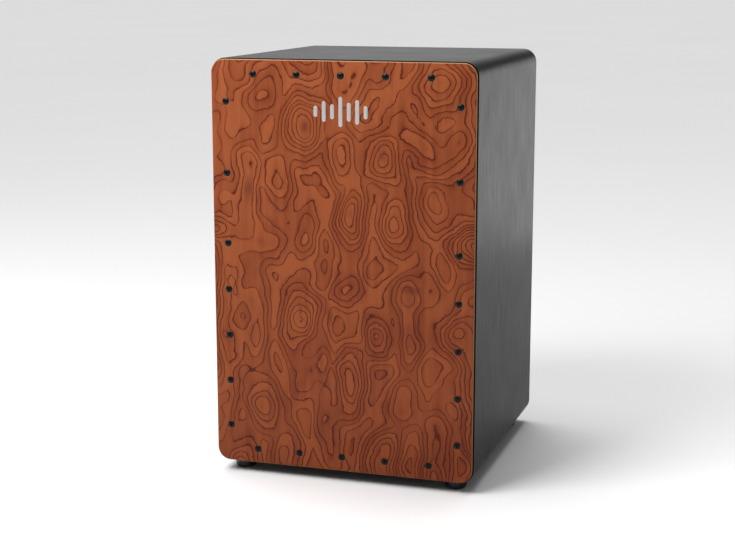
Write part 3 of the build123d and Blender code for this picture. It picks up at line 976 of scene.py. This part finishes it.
def cut_cross(screw, head_radius, top, recess_depth):
    """Cuts a tapered cross recess into a screw's head."""
    reach, width = 1.22 * head_radius, 0.27 * head_radius
    for quarter in range(2):
        low = Vector((-reach / 2, -width / 2, top - recess_depth))
        high = Vector((reach / 2, width / 2, top + 1 * MM))
        wing = block("wing", low, high)
        bpy.ops.object.mode_set(mode="EDIT")
        pick(wing, "faces", lies_at(2, low.z))
        bpy.ops.transform.resize(value=(0.32, 0.62, 1), center_override=(0, 0, low.z))
        bpy.ops.mesh.select_all(action="SELECT")
        bpy.ops.transform.rotate(value=quarter * math.pi / 2, orient_axis="Z", center_override=(0, 0, 0))
        bpy.ops.object.mode_set(mode="OBJECT")
        carve(screw, wing)


def screw_places(node, surface_y, towards):
    """Where each screw of a CAD node meets a panel's face, turned from +Z to face -Y (-1) or +Y (1)."""
    turn = Matrix.Rotation(-towards * math.pi / 2, 4, "X")
    for low, high in screw_boxes(node):
        centre = (low + high) / 2
        yield Matrix.Translation((centre.x, surface_y, centre.z)) @ turn


def fill_with_screws(model, node, towards, surface_y, draw):
    """Copies one screw to each solid of a CAD node, each turned by a different amount, as one object."""
    copies = []
    for place in screw_places(node, surface_y, towards):
        spin = Matrix.Rotation(draw.uniform(0, math.pi / 2), 4, "Z")
        copies.append(copy_to(model, place @ spin))
    return join(node + "_heads", copies)


# ---------------------------------------------------------------- the studio

FLOOR_RADIUS = 40
CAMERA_PLACE = (0.520, -1.681, 0.558)
CAMERA_SWING = 17.74  # degrees that it turns left of straight ahead
CAMERA_DROP = 11.11  # degrees that it looks down
CAMERA_LENS = 74.3
CAMERA_SENSOR = 36
STUDIO_AIR = (1.0, 1.0, 1.0)
AIR_STRENGTH = 0.20
BACKDROP_STRENGTH = 0.72  # what the camera sees past the floor
OVERHEAD_STRENGTH = 2.2  # of the wide overhead light that keeps the floor pale
OVERHEAD_TURN = (math.radians(-12), math.radians(-10), 0)
OVERHEAD_WIDTH = math.radians(50)

# Width, height and places in metres, power in watts, spread in degrees.
Softbox = namedtuple("Softbox", "name place target width height power spread")
SOFTBOXES = (
    Softbox("key_softbox", (-0.7, -1.0, 1.5), (-0.08, 0, 0.5), 0.9, 0.9, 30, 180),
    Softbox("side_softbox", (0.50, 0.95, 0.33), (0.15, 0, 0.36), 0.6, 0.5, 0.22, 70),
    Softbox("top_softbox", (-0.38, 1.20, 0.74), (0, 0, 0.47), 1.0, 0.4, 0.18, 70),
)


class CAJON_OT_stage(bpy.types.Operator):
    """Lays the floor, hangs the studio lights and sets the camera"""

    bl_idname = "cajon.stage"
    bl_label = "Studio Stage"

    def execute(self, context):
        deselect()
        bpy.ops.mesh.primitive_circle_add(vertices=96, radius=FLOOR_RADIUS, fill_type="NGON")
        floor = settle(context.object, "studio_floor")
        floor.data.materials.append(floor_material())
        context.scene.world = self.studio_air()
        for softbox in SOFTBOXES:
            self.hang_softbox(softbox)
        self.hang_overhead()
        self.set_camera(context)
        context.scene.view_settings.view_transform = "Standard"
        return {"FINISHED"}

    def studio_air(self):
        """Even light from all round, with its own strength where the camera sees it as the backdrop."""
        world = bpy.data.worlds.new("studio air")
        world.use_nodes = True
        background = world.node_tree.nodes["Background"].inputs
        background["Color"].default_value = (*STUDIO_AIR, 1)
        n = Nodes(world.node_tree)
        seen = n.add("LightPath").outputs["Is Camera Ray"]
        strength = n.math("MULTIPLY_ADD", seen, BACKDROP_STRENGTH - AIR_STRENGTH, AIR_STRENGTH)
        n.feed(background["Strength"], strength)
        return world

    def hang_overhead(self):
        deselect()
        bpy.ops.object.light_add(type="SUN", location=(0, 0, 4), rotation=OVERHEAD_TURN)
        light = bpy.context.object
        light.name = "overhead_light"
        light.data.energy = OVERHEAD_STRENGTH
        light.data.angle = OVERHEAD_WIDTH

    def hang_softbox(self, softbox):
        deselect()
        aim = Vector(softbox.target) - Vector(softbox.place)
        turn = aim.to_track_quat("-Z", "Y").to_euler()
        bpy.ops.object.light_add(type="AREA", radius=1, location=softbox.place, rotation=turn)
        light = bpy.context.object
        light.name = softbox.name
        light.data.shape = "RECTANGLE"
        light.data.size = softbox.width
        light.data.size_y = softbox.height
        light.data.energy = softbox.power
        light.data.spread = math.radians(softbox.spread)
        light.visible_camera = False

    def set_camera(self, context):
        deselect()
        turn = Euler((math.radians(90 - CAMERA_DROP), 0, math.radians(CAMERA_SWING)))
        bpy.ops.object.camera_add(location=CAMERA_PLACE, rotation=turn)
        camera = context.object
        camera.name = "studio_camera"
        camera.data.lens = CAMERA_LENS
        camera.data.sensor_width = CAMERA_SENSOR
        context.scene.camera = camera


# ---------------------------------------------------------------- the pieces


class CAJON_OT_front_plate(bpy.types.Operator):
    """Models the front plate with rounded corners, a sanded edge and countersinks, in figured veneer"""

    bl_idname = "cajon.front_plate"
    bl_label = "Front Plate"

    def execute(self, context):
        sizes = context.scene.cajon_sizes
        plate = block("front_plate_veneered", plate_low, plate_high)
        round_edges(plate, runs_along(1), sizes.plate_corner, 14)
        round_edges(plate, lies_at(1, FACE_Y), sizes.plate_edge, 5)
        mouth = sizes.head_radius + sizes.countersink_gap
        depth = plate_high.y - FACE_Y
        extra = 0.5 * MM  # how far the cutter reaches past both faces
        rings = [(mouth - depth - extra, -depth - extra), (mouth + extra, extra)]
        sink = turned("countersink", rings, sides=40)
        cutters = []
        for node in FRONT_SCREW_NODES:
            for place in screw_places(node, FACE_Y, -1):
                cutters.append(copy_to(sink, place))
        discard(sink)
        carve(plate, join("countersinks", cutters))
        hand_over(plate, veneer_material(), "burl_plywood", "front_plate")
        return {"FINISHED"}


BAR_GAP = 2.5 * MM  # less than the gap between two bars, and more than the steps round a bar's end


def bar_boxes(node):
    """The box of each upright bar in a CAD node whose bars stand side by side along X."""
    places = sorted(places_of(node), key=lambda place: place.x)
    bars = [[places[0]]]
    for before, place in zip(places, places[1:]):
        if place.x - before.x > BAR_GAP:
            bars.append([])
        bars[-1].append(place)
    return [box_round(bar) for bar in bars]


class CAJON_OT_badge(bpy.types.Operator):
    """Presses the badge: a row of rounded foil bars of different heights"""

    bl_idname = "cajon.badge"
    bl_label = "Badge"

    def execute(self, context):
        sizes = context.scene.cajon_sizes
        bars = []
        for low, high in bar_boxes("front_badge"):
            bar = block("bar", low, high)
            round_edges(bar, runs_along(1), (high.x - low.x) / 2 * 0.98, 8)
            round_edges(bar, lies_at(1, low.y), sizes.badge_edge, 3)
            bars.append(bar)
        hand_over(join("pressed_foil_bars", bars), foil_material(), "silver_foil", "front_badge")
        return {"FINISHED"}


class CAJON_OT_panel_screws(bpy.types.Operator):
    """Drives the black screws into the front plate and the back panel"""

    bl_idname = "cajon.panel_screws"
    bl_label = "Panel Screws"

    def execute(self, context):
        sizes = context.scene.cajon_sizes
        _, panel_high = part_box("back_panel")
        material = screw_material()
        draw = random.Random(7)
        kinds = (
            (FRONT_SCREW_NODES, -1, FACE_Y, sizes.head_radius, 1.75 * MM),
            (("back_screws",), 1, panel_high.y, sizes.back_head_radius, 1.5 * MM),
        )
        for nodes, towards, surface_y, head_radius, shank_radius in kinds:
            proud, length = self.reach(nodes[0], surface_y, towards)
            model = countersunk_screw("screw", head_radius, sizes.screw_sink, proud, shank_radius, length)
            for node in nodes:
                heads = fill_with_screws(model, node, towards, surface_y, draw)
                hand_over(heads, material, "black_screw", node)
            discard(model)
        return {"FINISHED"}

    def reach(self, node, surface_y, towards):
        """How far a CAD node's screws stand proud of a panel's face, and how far they go into it."""
        low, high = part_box(node)
        ahead, behind = surface_y - low.y, high.y - surface_y
        return (ahead, behind) if towards < 0 else (behind, ahead)


class CAJON_OT_walls(bpy.types.Operator):
    """Wraps the box walls in black film and paints the back panel"""

    bl_idname = "cajon.walls"
    bl_label = "Walls and Back"

    def execute(self, context):
        cover(film_material(), "top_panel", "bottom_panel", "left_side_panel", "right_side_panel")
        cover(back_board_material(), "back_panel")
        return {"FINISHED"}


class CAJON_OT_battens(bpy.types.Operator):
    """Finishes the battens, the corner blocks and the snare bar as sawn timber"""

    bl_idname = "cajon.battens"
    bl_label = "Battens and Blocks"

    def execute(self, context):
        colors = context.scene.cajon_colors
        pine_dark = toned(colors.pine, 0.55)
        across, through, up = (
            timber_material("raw pine " + name, colors.pine, pine_dark, axis, 190.0, 0.7)
            for name, axis in (("across", 0), ("through", 1), ("upright", 2))
        )
        for end in ("front", "rear"):
            cover(up, end + "_left_batten", end + "_right_batten")
            cover(across, end + "_top_batten", end + "_bottom_batten")
        for corner in ("top_left", "top_right", "bottom_left", "bottom_right"):
            cover(through, corner + "_corner_block")
        hard_dark = toned(colors.hardwood, 0.6)
        cover(timber_material("hardwood bar", colors.hardwood, hard_dark, 0, 320.0, 0.45), "snare_bar")
        return {"FINISHED"}


STRAND_RADIUS = 0.9 * MM
STRAND_SPACING = 3.6 * MM
STRAND_SPIN = 2.4  # radians from one strand to the next, so that their coils differ


class CAJON_OT_snares(bpy.types.Operator):
    """Coils the snare strands and plates their brackets and clamps"""

    bl_idname = "cajon.snares"
    bl_label = "Snares"

    def execute(self, context):
        sizes, colors = context.scene.cajon_sizes, context.scene.cajon_colors
        zinc = metal_material("zinc plate", colors.zinc, 0.34)
        cover(zinc, "left_snare_bracket", "right_snare_bracket", "left_snare_clamp", "right_snare_clamp")
        cover(zinc, "bracket_screws", "snare_clamp_screws", "foot_washers", "foot_screws")
        wire = metal_material("snare steel", colors.snare_steel, 0.26, dull=0.2)
        for node in ("left_snare_wires", "right_snare_wires"):
            strands = self.coil_strands(node, sizes)
            hand_over(strands, wire, "snare_steel", node)
        return {"FINISHED"}

    def coil_strands(self, node, sizes):
        """One coiled strand, copied to the place of each CAD strand."""
        lines = [self.strand_line(low, high) for low, high in self.strands_of(node)]
        length = (lines[0][1] - lines[0][0]).length
        model = self.coil(length, STRAND_RADIUS, sizes.snare_wire / 2, sizes.snare_pitch)
        copies = []
        for number, (start, end) in enumerate(lines):
            turn = (end - start).to_track_quat("Z", "Y").to_matrix().to_4x4()
            spin = Matrix.Rotation(number * STRAND_SPIN, 4, "Z")
            copies.append(copy_to(model, Matrix.Translation(start) @ turn @ spin))
        discard(model)
        return join(node + "_coiled", copies)

    def strands_of(self, node):
        """The box of each strand, sorted from left to right. Strands lie side by side along X."""
        low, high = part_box(node)
        count = round((high.x - low.x - 2 * STRAND_RADIUS) / STRAND_SPACING) + 1
        for number in range(count):
            x = low.x + number * STRAND_SPACING
            yield Vector((x, low.y, low.z)), Vector((x + 2 * STRAND_RADIUS, high.y, high.z))

    def strand_line(self, low, high):
        """The middle line of a strand that leans towards the front as it rises, from the box round it."""
        lean = math.atan2(high.y - low.y, high.z - low.z)
        across, down = STRAND_RADIUS * math.cos(lean), STRAND_RADIUS * math.sin(lean)
        x = (low.x + high.x) / 2
        return Vector((x, high.y - across, low.z + down)), Vector((x, low.y + across, high.z - down))

    def coil(self, length, radius, wire, pitch):
        """A helix of round wire along +Z, from a small ring and a Screw modifier."""
        deselect()
        bpy.ops.mesh.primitive_circle_add(
            vertices=5, radius=wire, location=(radius - wire, 0, wire), rotation=(math.pi / 2, 0, 0)
        )
        strand = settle(bpy.context.object, "strand")
        turns = int((length - 2 * wire) / pitch)
        modifier = strand.modifiers.new("coil", "SCREW")
        modifier.axis = "Z"
        modifier.angle = math.tau
        modifier.screw_offset = (length - 2 * wire) / turns
        modifier.iterations = turns
        modifier.steps = modifier.render_steps = 9
        modifier.use_smooth_shade = True
        bpy.ops.object.modifier_apply(modifier=modifier.name)
        bpy.ops.object.mode_set(mode="EDIT")
        bpy.ops.mesh.select_mode(type="EDGE")
        bpy.ops.mesh.select_all(action="SELECT")
        bpy.ops.mesh.remove_doubles(threshold=1e-6)
        bpy.ops.mesh.select_all(action="DESELECT")
        bpy.ops.mesh.select_non_manifold()
        bpy.ops.mesh.edge_face_add()
        bpy.ops.mesh.select_all(action="SELECT")
        bpy.ops.mesh.normals_make_consistent(inside=False)
        bpy.ops.object.mode_set(mode="OBJECT")
        return strand


class CAJON_OT_feet(bpy.types.Operator):
    """Moulds the four rubber feet with their collar, groove and screw well"""

    bl_idname = "cajon.feet"
    bl_label = "Rubber Feet"

    def execute(self, context):
        sizes = context.scene.cajon_sizes
        rubber = rubber_material()
        names = [end + side + "_foot" for end in ("front_", "rear_") for side in ("left", "right")]
        low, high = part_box(names[0])
        model = self.mould((high.x - low.x) / 2, high.z, sizes.foot_groove)
        for name in names:
            low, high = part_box(name)
            place = Matrix.Translation(((low.x + high.x) / 2, (low.y + high.y) / 2, 0))
            hand_over(copy_to(model, place), rubber, "foot_rubber", name)
        discard(model)
        return {"FINISHED"}

    def mould(self, top_radius, height, groove):
        """The outside from the top down, then round the sole and up into the well."""
        sole_radius, sole_round, round_steps = top_radius - 2 * MM, 2.8 * MM, 6
        well_radius, well_depth, well_lip = 5 * MM, 7.5 * MM, 0.5 * MM
        neck_radius = top_radius - 0.9 * MM
        collar = height - 2 * MM
        rings = [
            (top_radius - 0.3 * MM, height),
            (top_radius, height - 0.3 * MM),
            (top_radius, collar + 0.5 * MM),
            (top_radius - 0.4 * MM, collar),
            (neck_radius - groove, collar - 0.3 * MM),
            (neck_radius, collar - 0.9 * MM),
            (sole_radius + 0.2 * MM, sole_round + 0.6 * MM),
        ]
        for step in range(round_steps + 1):
            angle = step / round_steps * math.pi / 2
            inwards, up = 1 - math.cos(angle), 1 - math.sin(angle)
            rings.append((sole_radius - sole_round * inwards, sole_round * up))
        rings += [(well_radius + well_lip, 0), (well_radius, well_lip), (well_radius, well_depth)]
        return turned("foot", rings, sides=56)


CLASSES = (
    CajonSizes,
    CajonColors,
    CAJON_OT_stage,
    CAJON_OT_front_plate,
    CAJON_OT_badge,
    CAJON_OT_panel_screws,
    CAJON_OT_walls,
    CAJON_OT_battens,
    CAJON_OT_snares,
    CAJON_OT_feet,
)
OPERATORS = [cls for cls in CLASSES if issubclass(cls, bpy.types.Operator)]


class CAJON_PT_maker(bpy.types.Panel):
    """Lists the cajon's pieces, sizes and colours"""

    bl_idname = "CAJON_PT_maker"
    bl_label = "Cajon"
    bl_space_type = "VIEW_3D"
    bl_region_type = "UI"
    bl_category = "Cajon"

    def draw(self, context):
        for cls in OPERATORS:
            self.layout.operator(cls.bl_idname)
        for settings in (context.scene.cajon_sizes, context.scene.cajon_colors):
            column = self.layout.column()
            for name in settings.__annotations__:
                column.prop(settings, name)


def register():
    for cls in (*CLASSES, CAJON_PT_maker):
        bpy.utils.register_class(cls)
    bpy.types.Scene.cajon_sizes = PointerProperty(type=CajonSizes)
    bpy.types.Scene.cajon_colors = PointerProperty(type=CajonColors)


def unregister():
    del bpy.types.Scene.cajon_sizes
    del bpy.types.Scene.cajon_colors
    for cls in reversed((*CLASSES, CAJON_PT_maker)):
        bpy.utils.unregister_class(cls)


def main():
    register()
    for cls in OPERATORS:
        group, name = cls.bl_idname.split(".")
        getattr(getattr(bpy.ops, group), name)()


if __name__ == "__main__":
    main()
